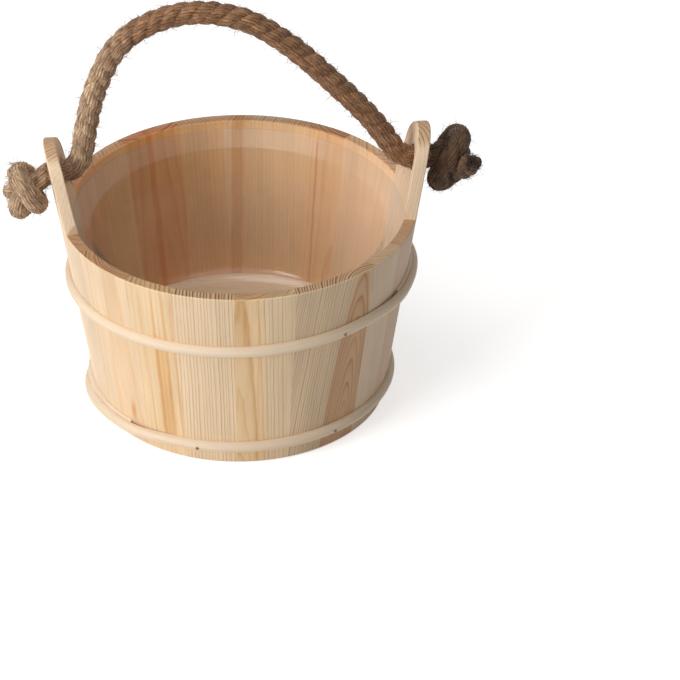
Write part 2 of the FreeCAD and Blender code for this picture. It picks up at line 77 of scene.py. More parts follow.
class Tree:
    """Short ways to build a node tree. Any input may be a socket or a plain value."""

    def __init__(self, tree):
        self.tree = tree

    def node(self, kind, inputs=None, **settings):
        made = self.tree.nodes.new(kind)
        for key, value in settings.items():
            setattr(made, key, value)
        for key, value in (inputs or {}).items():
            self.feed(made.inputs[key], value)
        return made

    def feed(self, socket, value):
        if isinstance(value, bpy.types.NodeSocket):
            self.tree.links.new(value, socket)
        else:
            socket.default_value = value

    def math(self, operation, *values, clamp=False):
        made = self.tree.nodes.new("ShaderNodeMath")
        made.operation = operation
        made.use_clamp = clamp
        for socket, value in zip(made.inputs, values):
            self.feed(socket, value)
        return made.outputs[0]

    def vector(self, operation, *values):
        made = self.tree.nodes.new("ShaderNodeVectorMath")
        made.operation = operation
        for socket, value in zip(made.inputs, values):
            self.feed(socket, value)
        return made.outputs[0]

    def scaled(self, vector, factor):
        made = self.node("ShaderNodeVectorMath", operation="SCALE")
        self.feed(made.inputs[0], vector)
        self.feed(made.inputs["Scale"], factor)
        return made.outputs[0]

    def split(self, vector):
        return self.node("ShaderNodeSeparateXYZ", {0: vector}).outputs

    def join(self, x, y, z):
        return self.node("ShaderNodeCombineXYZ", {0: x, 1: y, 2: z}).outputs[0]

    def noise(self, vector, scale=1.0, detail=2.0, roughness=0.5, w=None):
        made = self.node("ShaderNodeTexNoise")
        if w is not None:
            made.noise_dimensions = "4D"
            self.feed(made.inputs["W"], w)
        self.feed(made.inputs["Vector"], vector)
        self.feed(made.inputs["Scale"], scale)
        self.feed(made.inputs["Detail"], detail)
        self.feed(made.inputs["Roughness"], roughness)
        return made.outputs[0]

    def mix(self, factor, first, second, blend="MIX"):
        made = self.node("ShaderNodeMix", data_type="RGBA", blend_type=blend)
        self.feed(made.inputs[0], factor)
        self.feed(made.inputs[6], first)
        self.feed(made.inputs[7], second)
        return made.outputs[2]

    def stained(self, factor, base, stain):
        """The base multiplied by a stain, as far as the factor says."""
        return self.mix(factor, base, self.mix(1.0, base, stain, "MULTIPLY"))

    def toned(self, base, tone):
        """The base made lighter or darker by a tone about one."""
        return self.mix(1.0, base, self.join(tone, tone, tone), "MULTIPLY")

    def swayed(self, base, noise, amount):
        """The base moved up and down by a noise about one half."""
        return self.math("MULTIPLY_ADD", self.math("SUBTRACT", noise, 0.5), amount, base)

    def here(self):
        """Where a point of the surface is, in metres."""
        return self.node("ShaderNodeTexCoord").outputs["Object"]

    def here_in_mm(self):
        """Where a point of the surface is, in millimetres."""
        return self.scaled(self.here(), 1 / MM)

    def remap(self, value, low, high, to_low=0.0, to_high=1.0, smooth=True):
        made = self.node("ShaderNodeMapRange")
        made.interpolation_type = "SMOOTHSTEP" if smooth else "LINEAR"
        for socket, given in zip(made.inputs, (value, low, high, to_low, to_high)):
            self.feed(socket, given)
        return made.outputs[0]

    def ramp(self, value, stops):
        made = self.node("ShaderNodeValToRGB", {0: value})
        band = made.color_ramp
        while len(band.elements) < len(stops):
            band.elements.new(1.0)
        for element, (place, shade) in zip(band.elements, stops):
            element.position = place
            element.color = (shade, shade, shade, 1.0)
        return made.outputs[0]


def colour(red, green, blue):
    """Linear colour from 0 to 255 screen values."""
    values = []
    for value in (red, green, blue):
        share = value / 255
        values.append(share / 12.92 if share <= 0.04045 else ((share + 0.055) / 1.055) ** 2.4)
    return (*values, 1.0)


def material(name):
    """A new material, its tree and its Principled shader."""
    made = bpy.data.materials.new(name)
    made.use_nodes = True
    tree = Tree(made.node_tree)
    shader = made.node_tree.nodes["Principled BSDF"]
    return made, tree, shader


def bump(tree, shader, height, depth):
    """Relief on a shader. Height is 0 to 1 and depth is in metres."""
    made = tree.node("ShaderNodeBump", {"Strength": 1.0, "Distance": depth, "Height": height})
    tree.feed(shader.inputs["Normal"], made.outputs[0])


# Wood: growth rings round a pith line, so faces, edges and end grain agree. The wall is
# that of the CAD staves, in millimetres, and a relief is in metres

WALL_FOOT = 102.5
WALL_FLARE = 22.5
WALL_HEIGHT = 147.0
WALL_SLOPE = WALL_FLARE / WALL_HEIGHT
HEART_BLEND = 1.2
INNER_TINT_STARTS = -3.0
INNER_TINT_FULL = -6.0
STREAK_WAVER = 0.6
STREAK_FADE_OUT = 9.0
STREAK_FADE_IN = 6.0
WOOD_RELIEF = 0.00022


def pine_group():
    """Pine from rings round a pith. Place is (across, depth, along) in millimetres."""
    group = bpy.data.node_groups.new("pine", "ShaderNodeTree")
    face = group.interface
    face.new_socket("Place", in_out="INPUT", socket_type="NodeSocketVector")
    for name in (
        "Pith Across", "Pith Depth", "Lean Across", "Lean Depth", "Spacing",
        "Wave", "Contrast", "Heart", "Heart Amount", "Seed", "End Grain",
    ):
        face.new_socket(name, in_out="INPUT", socket_type="NodeSocketFloat")
    for name in ("Pale", "Late", "Heart Colour"):
        face.new_socket(name, in_out="INPUT", socket_type="NodeSocketColor")
    face.new_socket("Colour", in_out="OUTPUT", socket_type="NodeSocketColor")
    face.new_socket("Height", in_out="OUTPUT", socket_type="NodeSocketFloat")
    face.new_socket("Rough", in_out="OUTPUT", socket_type="NodeSocketFloat")
    tree = Tree(group)
    given = tree.node("NodeGroupInput").outputs
    across, depth, along = tree.split(given["Place"])
    shift = tree.math("MULTIPLY", given["Seed"], 37.7)
    seeded = tree.vector("ADD", given["Place"], tree.join(shift, shift, shift))

    def grain(crosswise, lengthwise, **settings):
        """Noise drawn out along the grain."""
        drawn = tree.vector("MULTIPLY", seeded, (crosswise, crosswise, lengthwise))
        return tree.noise(drawn, **settings)

    from_top = tree.math("SUBTRACT", along, WALL_HEIGHT)
    off_across = tree.math(
        "SUBTRACT", tree.math("SUBTRACT", across, given["Pith Across"]),
        tree.math("MULTIPLY", given["Lean Across"], from_top),
    )
    off_depth = tree.math(
        "SUBTRACT", tree.math("SUBTRACT", depth, given["Pith Depth"]),
        tree.math("MULTIPLY", given["Lean Depth"], from_top),
    )
    reach = tree.math(
        "SQRT",
        tree.math(
            "ADD",
            tree.math("MULTIPLY", off_across, off_across),
            tree.math("MULTIPLY", off_depth, off_depth),
        ),
    )
    slow = grain(0.022, 0.0085, detail=1.5)
    wobble = grain(0.16, 0.035, detail=2.0)
    waved = tree.swayed(tree.swayed(reach, slow, given["Wave"]), wobble, 0.9)
    count = tree.math("DIVIDE", waved, given["Spacing"])
    uneven = tree.noise(
        tree.join(tree.math("MULTIPLY", count, 0.45), given["Seed"], 0.5), detail=1.0
    )
    count = tree.swayed(count, uneven, 1.5)
    ring = tree.math("FRACT", count)
    late = tree.ramp(
        ring,
        [
            (0.0, 0.22), (0.1, 0.02), (0.45, 0.06), (0.72, 0.36),
            (0.9, 1.0), (0.96, 0.85), (1.0, 0.22),
        ],
    )
    each = tree.node(
        "ShaderNodeTexWhiteNoise", {"W": tree.math("FLOOR", count)}, noise_dimensions="1D"
    ).outputs[0]
    late = tree.math("MULTIPLY", late, tree.math("MULTIPLY_ADD", each, 0.65, 0.5))
    fibre = grain(1.5, 0.022, detail=4.0, roughness=0.62)
    fine = grain(5.5, 0.16, detail=2.0)
    broad = grain(0.06, 0.012, detail=2.0)
    end = given["End Grain"]
    strength = tree.math("MULTIPLY", given["Contrast"], tree.math("MULTIPLY_ADD", end, 1.5, 1.0))
    dark = tree.stained(end, given["Late"], colour(176, 158, 140))
    wood = tree.mix(tree.math("MULTIPLY", late, strength, clamp=True), given["Pale"], dark)
    heart_out = tree.math("ADD", given["Heart"], HEART_BLEND)
    heart_in = tree.math("SUBTRACT", given["Heart"], HEART_BLEND)
    inside = tree.remap(waved, heart_out, heart_in)
    inside = tree.math("MULTIPLY", inside, given["Heart Amount"])
    wood = tree.stained(inside, wood, given["Heart Colour"])
    tone = tree.swayed(1.0, fibre, 0.34)
    tone = tree.swayed(tone, fine, 0.16)
    tone = tree.swayed(tone, broad, 0.30)
    wood = tree.toned(wood, tone)
    pores = tree.noise(given["Place"], scale=3.2, detail=2.0)
    end_tone = tree.math("MULTIPLY_ADD", pores, 0.35, 0.62)
    warm_tone = tree.join(
        end_tone, tree.math("MULTIPLY", end_tone, 0.86), tree.math("MULTIPLY", end_tone, 0.70)
    )
    wood = tree.stained(end, wood, warm_tone)
    height = tree.math("MULTIPLY", late, tree.math("MULTIPLY_ADD", end, 0.9, 0.25))
    height = tree.math("MULTIPLY_ADD", fibre, 0.55, height)
    height = tree.math("MULTIPLY_ADD", fine, 0.3, height)
    height = tree.math("MULTIPLY_ADD", tree.math("MULTIPLY", pores, end), 0.5, height)
    rough = tree.math("MULTIPLY_ADD", fibre, 0.22, 0.44)
    out = tree.node("NodeGroupOutput")
    tree.feed(out.inputs["Colour"], wood)
    tree.feed(out.inputs["Height"], height)
    tree.feed(out.inputs["Rough"], rough)
    return group


PINE = pine_group()


def stave_place(tree, azimuth):
    """Across, depth and along for a stave whose middle stands at an azimuth."""
    here = tree.here_in_mm()
    turned = tree.node(
        "ShaderNodeVectorRotate",
        {"Vector": here, "Angle": -math.radians(azimuth)},
        rotation_type="Z_AXIS",
    ).outputs[0]
    out, across, up = tree.split(turned)
    depth = tree.math("SUBTRACT", out, tree.math("MULTIPLY_ADD", up, WALL_SLOPE, WALL_FOOT))
    return tree.join(across, depth, up), across, up


def pine(
    name, azimuth, pith=(0, -60), lean=(0.0, 0.01), spacing=3.0, wave=6.0, contrast=0.5,
    pale=(238, 208, 174), late=(206, 158, 108), heart=-100.0, heart_colour=(240, 190, 160),
    heart_amount=1.0, streaks=(), cut=(255, 255, 255), inner=(255, 255, 255),
    seed=0.0, place=None,
):
    """Pine for one stave or board. Streaks are (across at foot, across at top, half width, lowest,
    highest, colour, amount). Cut is a tint on the cut ends, a painted shade on the rim tops, and
    inner a tint on the inner face."""
    made, tree, shader = material(name)
    if place is None:
        local, across, up = stave_place(tree, azimuth)
        facing = tree.split(tree.node("ShaderNodeTexCoord").outputs["Normal"])[2]
        end = tree.remap(tree.math("ABSOLUTE", facing), 0.62, 0.9)
    else:
        local, across, up = place(tree)
        end = 0.0
    wood = tree.node("ShaderNodeGroup", node_tree=PINE)
    values = {
        "Place": local, "Pith Across": pith[0], "Pith Depth": pith[1],
        "Lean Across": lean[0], "Lean Depth": lean[1], "Spacing": spacing,
        "Wave": wave, "Contrast": contrast, "Heart": heart,
        "Heart Amount": heart_amount, "Seed": seed, "End Grain": end,
        "Pale": colour(*pale), "Late": colour(*late), "Heart Colour": colour(*heart_colour),
    }
    for key, value in values.items():
        tree.feed(wood.inputs[key], value)
    tint = wood.outputs["Colour"]
    for foot, top, half, low, high, stain, amount in streaks:
        stretched = tree.math("MULTIPLY", up, 0.045)
        waver = tree.noise(tree.join(seed + 0.3, foot, stretched), detail=3.0)
        line = tree.math("MULTIPLY_ADD", up, (top - foot) / WALL_HEIGHT, foot)
        line = tree.swayed(line, waver, half * 1.2 + STREAK_WAVER)
        off = tree.math("ABSOLUTE", tree.math("SUBTRACT", across, line))
        mask = tree.remap(off, half * 1.35, half * 0.45)
        begun = tree.remap(up, low - STREAK_FADE_OUT, low + STREAK_FADE_IN)
        mask = tree.math("MULTIPLY", mask, begun)
        ended = tree.remap(up, high + STREAK_FADE_OUT, high - STREAK_FADE_IN)
        mask = tree.math("MULTIPLY", mask, ended)
        mask = tree.math("MULTIPLY", mask, amount)
        tint = tree.stained(mask, tint, colour(*stain))
    # Painted shade: the cut tint darkens and greys the rim tops
    tint = tree.stained(end, tint, colour(*cut))
    within = tree.remap(tree.split(local)[1], INNER_TINT_STARTS, INNER_TINT_FULL)
    tint = tree.stained(within, tint, colour(*inner))
    tree.feed(shader.inputs["Base Color"], tint)
    tree.feed(shader.inputs["Roughness"], wood.outputs["Rough"])
    shader.inputs["Specular IOR Level"].default_value = 0.32
    bump(tree, shader, wood.outputs["Height"], WOOD_RELIEF)
    return made


def dress(node, made):
    """Give a CAD node its material."""
    slots = nodes[node].data.materials
    slots.clear()
    slots.append(made)


# Each stave's azimuth in degrees, and its looks. The cut tints on the left front and back staves
# darken the rim tops there, a painted shade, and the back staves' pale colours are lifted near
# white, a painted light on the shaded inside.
STAVES = {
    "stave_front_1": (-23.2, dict(
        pith=(-95, -40), lean=(0.02, 0.01), spacing=2.3, wave=7, contrast=0.28,
        pale=(219, 187, 158), late=(194, 153, 120), seed=1.1)),
    "stave_front_2": (-38.4, dict(
        pith=(80, -70), lean=(0.0, 0.012), spacing=2.4, wave=6, contrast=0.26,
        pale=(230, 204, 174), late=(206, 174, 138), seed=2.4)),
    "stave_front_3": (-60.4, dict(
        pith=(24.0, 14.0), lean=(0.07, 0.10), spacing=2.05, wave=2.5, contrast=0.82,
        pale=(232, 207, 172), late=(190, 146, 104), heart=17.0,
        heart_colour=(238, 216, 200), seed=3.3)),
    "stave_front_4": (-85.4, dict(
        pith=(-13.7, -26.0), lean=(0.0, -0.0228), spacing=1.8, wave=1.2, contrast=0.64,
        pale=(242, 216, 180), late=(210, 162, 104), heart=27.4,
        heart_colour=(255, 246, 232), seed=4.2,
        streaks=[(-13.7, -13.7, 1.5, 104, 138, (244, 208, 158), 0.4),
                 (-4.5, -3.8, 1.0, 8, 140, (244, 214, 176), 0.35)])),
    "stave_front_5": (-105.4, dict(
        pith=(190, -40), lean=(0.01, 0.0), spacing=2.35, wave=3.0, contrast=0.78,
        pale=(243, 217, 183), late=(208, 160, 106), seed=5.6)),
    "stave_front_6": (-123.7, dict(
        pith=(120, -60), lean=(0.02, 0.0), spacing=3.4, wave=4.0, contrast=0.40,
        pale=(242, 211, 170), late=(220, 176, 122), seed=6.1,
        streaks=[(3.8, 4.6, 5.2, 12, 104, (244, 212, 158), 0.6),
                 (1.0, 2.4, 1.2, 20, 142, (236, 200, 146), 0.45),
                 (8.8, 10.6, 1.2, 20, 142, (236, 200, 146), 0.45),
                 (-6.6, -8.1, 0.8, 10, 140, (244, 206, 166), 0.45),
                 (14.2, 16.4, 1.2, 10, 140, (240, 202, 162), 0.42)])),
    "stave_front_7": (-143.0, dict(
        pith=(5.5, -30.0), lean=(0.01, -0.010), spacing=2.6, wave=1.6, contrast=0.42,
        pale=(240, 211, 176), late=(222, 176, 124), heart=31.0,
        heart_colour=(255, 240, 218), heart_amount=0.3, seed=7.7, cut=(240, 226, 218),
        streaks=[(9.6, 9.0, 2.2, 22, 32, (238, 190, 130), 0.8)])),
    "stave_front_8": (-159.5, dict(
        pith=(-80, -60), lean=(0.0, 0.01), spacing=5.5, wave=6, contrast=0.22,
        pale=(234, 207, 175), late=(222, 186, 145), seed=8.2, cut=(236, 220, 212))),
    "stave_back_1": (22.75, dict(
        pith=(60, 40), lean=(0.01, 0.01), spacing=4.2, wave=6, contrast=0.22,
        pale=(252, 225, 198), late=(235, 195, 162), seed=9.4, inner=(255, 240, 220))),
    "stave_back_2": (38.1, dict(
        pith=(-50, 50), lean=(0.02, 0.0), spacing=3.6, wave=5, contrast=0.25,
        pale=(250, 221, 192), late=(227, 183, 145), seed=10.5, inner=(255, 240, 220))),
    "stave_back_3": (52.85, dict(
        pith=(-12, 26), lean=(0.04, 0.03), spacing=3.0, wave=4, contrast=0.40,
        pale=(254, 226, 197), late=(218, 162, 119), heart=30, heart_colour=(252, 230, 210),
        seed=11.9, cut=(212, 200, 186), inner=(255, 231, 198),
        streaks=[(4.0, 7.5, 0.9, 12, 140, (200, 146, 108), 0.45)])),
    "stave_back_4": (75.7, dict(
        pith=(150, 30), lean=(0.02, 0.0), spacing=2.4, wave=3, contrast=0.35,
        pale=(254, 234, 209), late=(222, 180, 139), seed=12.3,
        cut=(224, 224, 232), inner=(255, 231, 198),
        streaks=[(20.5, 20.8, 4.4, -10, 150, (236, 206, 178), 0.7)])),
    "stave_back_5": (99.4, dict(
        pith=(-90, 40), lean=(0.0, 0.01), spacing=3.0, wave=4, contrast=0.29,
        pale=(255, 226, 192), late=(228, 179, 133), seed=13.1,
        cut=(224, 224, 232), inner=(255, 231, 198))),
    "stave_back_6": (118.75, dict(
        pith=(2.0, 34), lean=(0.02, 0.03), spacing=3.2, wave=3, contrast=0.36,
        pale=(252, 221, 188), late=(220, 168, 126), heart=40, heart_colour=(252, 232, 216),
        seed=14.8, cut=(226, 214, 214), inner=(255, 219, 176),
        streaks=[(1.6, 1.8, 2.6, -10, 150, (238, 200, 170), 0.7)])),
    "stave_back_7": (138.75, dict(
        pith=(70, 40), lean=(0.01, 0.0), spacing=3.2, wave=5, contrast=0.26,
        pale=(255, 228, 196), late=(236, 186, 146), seed=15.2,
        cut=(224, 219, 226), inner=(255, 232, 200))),
    "stave_back_8": (156.25, dict(
        pith=(-40, 60), lean=(0.0, 0.01), spacing=4.4, wave=6, contrast=0.26,
        pale=(255, 227, 196), late=(228, 185, 146), seed=16.6,
        cut=(228, 220, 228), inner=(255, 227, 202))),
    "ear_stave_right": (0.0, dict(
        pith=(-16, -52), lean=(-0.16, 0.01), spacing=3.0, wave=4, contrast=0.36,
        pale=(242, 214, 182), late=(214, 172, 132), seed=17.4)),
    "ear_stave_left": (180.0, dict(
        pith=(60, -40), lean=(0.22, 0.05), spacing=2.2, wave=3, contrast=0.34,
        pale=(250, 222, 190), late=(220, 178, 138), seed=18.9)),
}

for node, (azimuth, looks) in STAVES.items():
    dress(node, pine(f"pine_{node}", azimuth, **looks))


def board_place(tree):
    """Across, depth and along for a bottom board, whose grain runs along X."""
    here = tree.here_in_mm()
    x, y, z = tree.split(here)
    return tree.join(y, z, x), y, x


for index, side in enumerate(("front", "middle", "back")):
    dress(f"bottom_board_{side}", pine(
        f"pine_board_{side}", 0.0, pith=(20 - 55 * index, -35 + 60 * (index % 2)),
        lean=(0.02, 0.015), spacing=3.1, contrast=0.4, pale=(250, 228, 196),
        seed=21.0 + index, place=board_place,
    ))


# The hoops sit a little higher at the right and at the front: rise per length
HOOP_RIGHT_SLOPE = 0.0192
HOOP_FRONT_SLOPE = 0.0297
HOOP_RELIEF = 0.00018
NAIL_RELIEF = 0.00006


def hoop_wood(name, seed):
    """A shaved strip: long fine streaks that follow the hoop round the wall."""
    made, tree, shader = material(name)
    here = tree.here_in_mm()
    x, y, z = tree.split(here)
    level = tree.math("MULTIPLY_ADD", x, -HOOP_RIGHT_SLOPE, z)
    level = tree.math("MULTIPLY_ADD", y, HOOP_FRONT_SLOPE, level)
    straight = tree.join(x, y, level)
    squares = tree.math("ADD", tree.math("MULTIPLY", x, x), tree.math("MULTIPLY", y, y))
    out = tree.math("SQRT", squares)

    def streak(across, along, detail, w):
        """Noise drawn out round the hoop."""
        drawn = tree.vector("MULTIPLY", straight, (along, along, across))
        w = tree.math("MULTIPLY_ADD", out, across, w)
        return tree.noise(drawn, detail=detail, roughness=0.6, w=w)

    broad = streak(0.16, 0.008, 2.0, seed)
    lines = streak(0.9, 0.010, 3.0, seed + 3.1)
    fine = streak(3.4, 0.03, 2.0, seed + 7.7)
    late = tree.remap(lines, 0.50, 0.66)
    wood = tree.mix(tree.math("MULTIPLY", late, 0.30), colour(240, 218, 190), colour(212, 172, 134))
    tone = tree.swayed(1.0, fine, 0.22)
    tone = tree.swayed(tone, broad, 0.24)
    wood = tree.toned(wood, tone)
    tree.feed(shader.inputs["Base Color"], wood)
    tree.feed(shader.inputs["Roughness"], tree.math("MULTIPLY_ADD", fine, 0.25, 0.38))
    shader.inputs["Specular IOR Level"].default_value = 0.35
    height = tree.math("MULTIPLY_ADD", lines, 0.5, fine)
    bump(tree, shader, height, HOOP_RELIEF)
    return made


dress("upper_hoop", hoop_wood("hoop_wood_upper", 1.0))
dress("lower_hoop", hoop_wood("hoop_wood_lower", 5.0))


def nail_metal():
    """Iron brad heads, stained by damp."""
    made, tree, shader = material("nail_metal")
    here = tree.here()
    stain = tree.noise(here, scale=900.0, detail=3.0)
    iron = tree.mix(stain, colour(158, 138, 120), colour(96, 78, 66))
    tree.feed(shader.inputs["Base Color"], iron)
    tree.feed(shader.inputs["Roughness"], tree.remap(stain, 0.3, 0.7, 0.35, 0.6))
    shader.inputs["Metallic"].default_value = 0.7
    bump(tree, shader, stain, NAIL_RELIEF)
    return made


NAIL = nail_metal()
dress("upper_hoop_nails", NAIL)
dress("lower_hoop_nails", NAIL)


# Heights on the liner in millimetres: where its shoulder's haze is thinned, a painted shade on the
# flare that faces up to the lamps, and where its floor clouds it
SHOULDER_LOW = 106.0
SHOULDER_HIGH = 116.0
FLOOR_HAZE_TOP = 24.0
FLOOR_HAZE_FOOT = 17.0
LINER_RELIEF = 0.00035


def liner_plastic():
    """Thin clear plastic: a soft white haze, a gloss, and brighter where it turns away."""
    made, tree, shader = material("liner_plastic")
    here = tree.here()
    haze = tree.noise(here, scale=22.0, detail=3.0)
    fine = tree.noise(here, scale=240.0, detail=2.0)
    up = tree.math("MULTIPLY", tree.split(here)[2], 1 / MM)
    white = tree.mix(haze, colour(246, 226, 208), colour(236, 212, 192))
    tree.feed(shader.inputs["Base Color"], white)
    tree.feed(shader.inputs["Roughness"], tree.remap(haze, 0.3, 0.7, 0.12, 0.20))
    shader.inputs["IOR"].default_value = 2.6
    bump(tree, shader, tree.math("MULTIPLY_ADD", fine, 0.12, haze), LINER_RELIEF)
    clear = tree.node("ShaderNodeBsdfTransparent", {"Color": colour(252, 252, 252)})
    turned = tree.node("ShaderNodeLayerWeight", {"Blend": 0.22}).outputs["Fresnel"]
    milk = tree.remap(haze, 0.3, 0.7, 0.09, 0.145)
    # Painted shade: the haze is thinned above the shoulder, where the flare faces up to the lamps
    milk = tree.math("MULTIPLY", milk, tree.remap(up, SHOULDER_LOW, SHOULDER_HIGH, 1.0, 0.45))
    milk = tree.math("ADD", milk, tree.remap(up, FLOOR_HAZE_TOP, FLOOR_HAZE_FOOT, 0.0, 0.13))
    milk = tree.math("ADD", milk, tree.math("MULTIPLY", turned, 0.06), clamp=True)
    shadow = tree.node("ShaderNodeLightPath").outputs["Is Shadow Ray"]
    let_by = tree.math("SUBTRACT", 1.0, tree.math("MULTIPLY", shadow, 0.7))
    milk = tree.math("MULTIPLY", milk, let_by)
    both = tree.node("ShaderNodeMixShader", {0: milk})
    tree.feed(both.inputs[1], clear.outputs[0])
    tree.feed(both.inputs[2], shader.outputs[0])
    tree.feed(tree.tree.nodes["Material Output"].inputs["Surface"], both.outputs[0])
    return made


dress("liner", liner_plastic())

# Rope: a smooth line that the route's points control, with three strands laid round it.
# The route is the CAD rope's: across, and up from the holes, in millimetres

HOLE_HEIGHT = 178.5
ROPE_DIAMETER = 16.0
ROPE_ROUTE = [
    (-131.5, 0.0),
    (-117.5, 0.0),
    (-107.5, 9.0),
    (-104.7, 29.0),
    (-97.5, 65.0),
    (-78.5, 104.5),
    (-37.0, 123.0),
    (5.0, 116.5),
    (38.0, 92.5),
    (65.5, 63.5),
    (89.0, 37.5),
    (102.0, 18.8),
    (109.8, 5.2),
    (118.3, 0.0),
    (131.5, 0.0),
]

ROUTE_FINENESS = 40
KNOT_FINENESS = 6
LEAST_RUN = 1e-7


def smooth_line(points, fineness):
    """Places on the NURBS spline that has these control points, in metres."""
    curve = bpy.data.curves.new("route", "CURVE")
    curve.dimensions = "3D"
    spline = curve.splines.new("NURBS")
    spline.points.add(len(points) - 1)
    for point, place in zip(spline.points, points):
        point.co = (*place, 1.0)
    spline.order_u = 3
    spline.use_endpoint_u = True
    spline.resolution_u = fineness
    holder = placed("route", curve)
    mesh = bpy.data.meshes.new_from_object(holder)
    places = np.array([v.co for v in mesh.vertices])
    bpy.data.objects.remove(holder)
    bpy.data.meshes.remove(mesh)
    bpy.data.curves.remove(curve)
    return places


def distances(places):
    """How far along a line each of its places lies."""
    return np.concatenate([[0], np.cumsum(np.linalg.norm(np.diff(places, axis=0), axis=1))])


def spots_at(wanted, passed, places):
    """The spots at wanted distances along a line."""
    return np.stack([np.interp(wanted, passed, places[:, k]) for k in range(3)], axis=1)


def softly(share):
    """A share held between 0 and 1 that sets off and arrives softly."""
    share = np.clip(share, 0, 1)
    return share * share * (3 - 2 * share)


def even_steps(places, step):
    """Places at even steps along a line, the ways on, and two ways square to them."""
    runs = np.linalg.norm(np.diff(places, axis=0), axis=1)
    keep = np.concatenate([[True], runs > LEAST_RUN])
    places = places[keep]
    passed = distances(places)
    count = max(int(round(passed[-1] / step)), 4)
    wanted = np.linspace(0, passed[-1], count + 1)
    spots = spots_at(wanted, passed, places)
    ways = np.gradient(spots, axis=0)
    ways /= np.linalg.norm(ways, axis=1)[:, None]
    side = np.cross(ways[0], (0, 1, 0))
    if np.linalg.norm(side) < 0.2:
        side = np.cross(ways[0], (0, 0, 1))
    sides = [side / np.linalg.norm(side)]
    for way in ways[1:]:
        turned = sides[-1] - way * np.dot(sides[-1], way)
        sides.append(turned / np.linalg.norm(turned))
    sides = np.array(sides)
    return wanted, spots, ways, sides, np.cross(ways, sides)


# Strands and their yarns: lengths in metres, shares of the rope's thickness or of the
# strand's. For the jute's pattern each strand is drawn out straight, at a radius and a
# distance from the next one in millimetres
STRANDS = 3
YARNS = 11
YARN_POINTS = 6
LAY_LENGTH = 31.5 * MM
STRAND_OFFSET_SHARE = 0.232
STRAND_RADIUS_SHARE = 0.274
STRAND_WIDTH_SHARE = 1.12
STRAND_CORE_SHARE = 0.93
YARN_RIDGE_SHARE = 0.085
PRESSED_SHARE = 0.92
WANDER_SHARE = 0.012
WANDER_TURNS = (1.7, 4.1, 9.3)
EASE_LENGTH = 16 * MM
ROPE_STEP = 0.9 * MM
YARN_TURNS = 1.95
TONE_RINGS = 14
STRAND_DRAWN = 4.4
STRAND_APART = 300


def laid_rope(name, places, diameter, start_diameter=None, seed=1):
    """Three strands laid to the left round a line, each of yarns twisted the other way. The points
    keep what the jute needs: each yarn's tone, how deep they lie between strands and between yarns,
    which the painted shade there follows, and their place in the strand drawn out straight."""
    generator = np.random.default_rng(seed)
    passed, spots, ways, first, second = even_steps(places, ROPE_STEP)
    eased = softly(passed / EASE_LENGTH)
    diameter = diameter + ((start_diameter or diameter) - diameter) * (1 - eased)
    around = YARNS * YARN_POINTS
    yarn_angle = np.arange(around) / around * 2 * math.pi
    inside = np.arange(around) / YARN_POINTS % 1
    ridge = np.sqrt(np.clip(1 - (2 * inside - 1) ** 2, 0, 1))
    yarn_of = np.arange(around) // YARN_POINTS
    vertices, faces, tones, crevices, grooves, places_in = [], [], [], [], [], []
    rings = len(spots)
    for strand in range(STRANDS):
        angle = strand * 2 * math.pi / STRANDS - passed * 2 * math.pi / LAY_LENGTH
        out = np.cos(angle)[:, None] * first + np.sin(angle)[:, None] * second
        centre = spots + out * (STRAND_OFFSET_SHARE * diameter)[:, None]
        on = np.gradient(centre, axis=0)
        on /= np.linalg.norm(on, axis=1)[:, None]
        out = out - on * np.sum(out * on, axis=1)[:, None]
        out /= np.linalg.norm(out, axis=1)[:, None]
        tangent = np.cross(on, out)
        spin = passed * 2 * math.pi / LAY_LENGTH * YARN_TURNS
        wander = 0.0
        for turns in WANDER_TURNS:
            phase = generator.random() * 6.3
            wander = wander + np.sin(passed / passed[-1] * turns * 6.3 * 4 + phase)
        wander = 1 + WANDER_SHARE * wander
        tone = generator.normal(0, 1, (YARNS, rings // TONE_RINGS + 3))
        start = sum(len(block) for block in vertices)
        rows = []
        for k in range(rings):
            psi = yarn_angle + spin[k]
            radius = STRAND_RADIUS_SHARE * diameter[k] * wander[k]
            radius = radius * (STRAND_CORE_SHARE + YARN_RIDGE_SHARE * ridge)
            squeeze = np.where(np.cos(psi) < 0, PRESSED_SHARE, 1.0)
            rows.append(
                centre[k]
                + (radius * squeeze * np.cos(psi))[:, None] * out[k]
                + (radius * STRAND_WIDTH_SHARE * np.sin(psi))[:, None] * tangent[k]
            )
            along = k / TONE_RINGS
            low = int(along)
            share = along - low
            tones.append(tone[yarn_of, low] * (1 - share) + tone[yarn_of, low + 1] * share)
            # How far each point faces in between strands: the painted shade there follows it
            crevices.append(np.clip(0.42 - 0.62 * np.cos(psi), 0, 1))
            grooves.append(1 - ridge)
            places_in.append(np.stack([
                np.cos(yarn_angle) * STRAND_DRAWN, np.sin(yarn_angle) * STRAND_DRAWN,
                np.full(around, passed[k] / MM + STRAND_APART * strand),
            ], axis=1))
        vertices.append(np.concatenate(rows))
        for k in range(rings - 1):
            for j in range(around):
                a = start + k * around + j
                b = start + k * around + (j + 1) % around
                faces.append((a, b, b + around, a + around))
        for k, flip in ((0, True), (rings - 1, False)):
            loop = [start + k * around + j for j in range(around)]
            faces.append(tuple(reversed(loop)) if flip else tuple(loop))
    points = np.concatenate(vertices)
    mesh = bpy.data.meshes.new(name)
    mesh.from_pydata(points.tolist(), [], faces)
    for label, values in (("tone", tones), ("crevice_shade", crevices), ("groove", grooves)):
        attribute = mesh.attributes.new(label, "FLOAT", "POINT")
        attribute.data.foreach_set("value", np.concatenate(values).astype(np.float32))
    attribute = mesh.attributes.new("in_strand", "FLOAT_VECTOR", "POINT")
    attribute.data.foreach_set("vector", np.concatenate(places_in).astype(np.float32).ravel())
    mesh.polygons.foreach_set("use_smooth", [True] * len(mesh.polygons))
    mesh.update()
    return placed(name, mesh), (passed, spots, ways, first, second)


